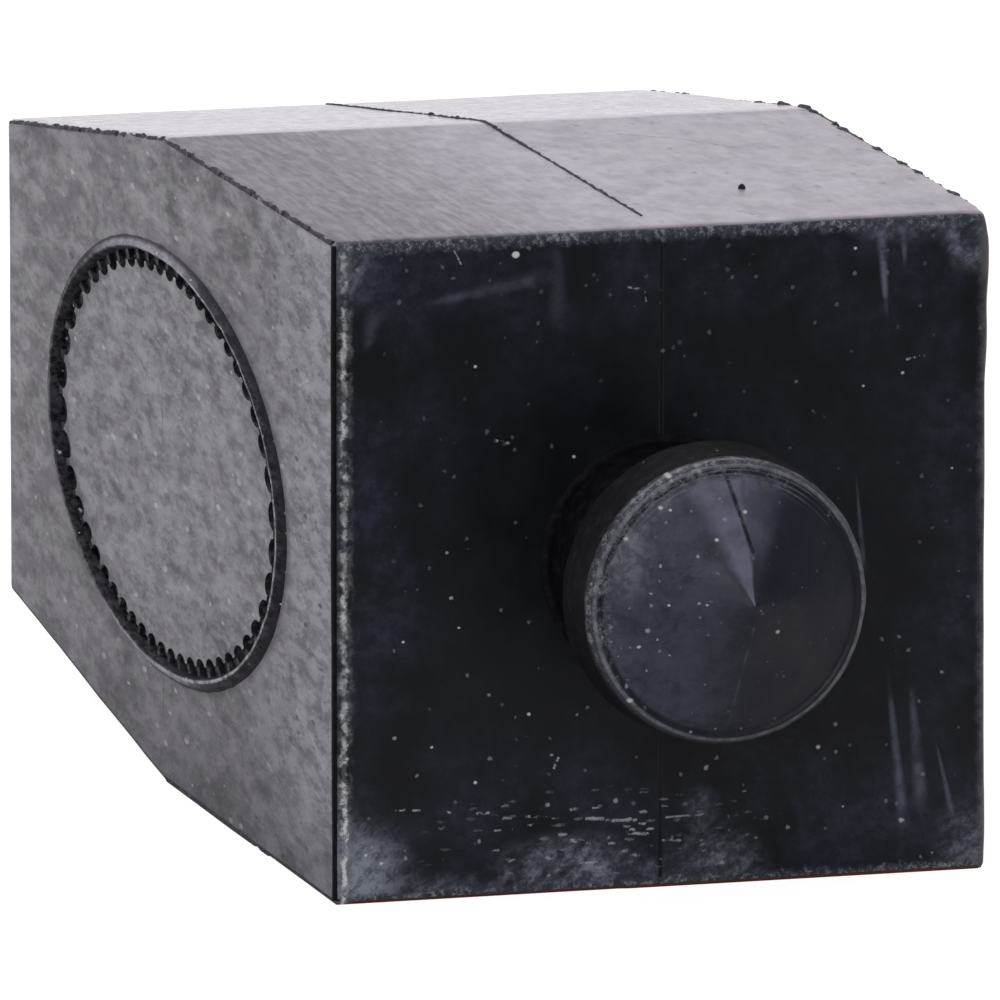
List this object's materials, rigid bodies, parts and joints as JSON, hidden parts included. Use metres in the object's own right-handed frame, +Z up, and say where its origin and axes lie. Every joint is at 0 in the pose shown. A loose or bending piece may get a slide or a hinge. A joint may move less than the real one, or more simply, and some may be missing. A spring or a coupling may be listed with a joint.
{
  "type": "rubber stop buffer",
  "caption": "Moulded rubber stop block with a tapered striking end and a snap-in plug that holds it in a hole in a carrier plate",
  "frame": {"origin": "centre of the mounting face, on the axis of the plug", "axes": "+Y runs from the mounting face to the striking face, the plug points along -Y, +Z is up as the block lies on its flat underside, X runs across the side faces"},
  "size_m": [0.0622, 0.1386, 0.0597],
  "materials": {
    "black_rubber": "moulded black rubber with a pale dusty bloom on its sides and top"
  },
  "bodies": {
    "root": {"rubber_buffer": "black_rubber"}
  },
  "joints": []
}
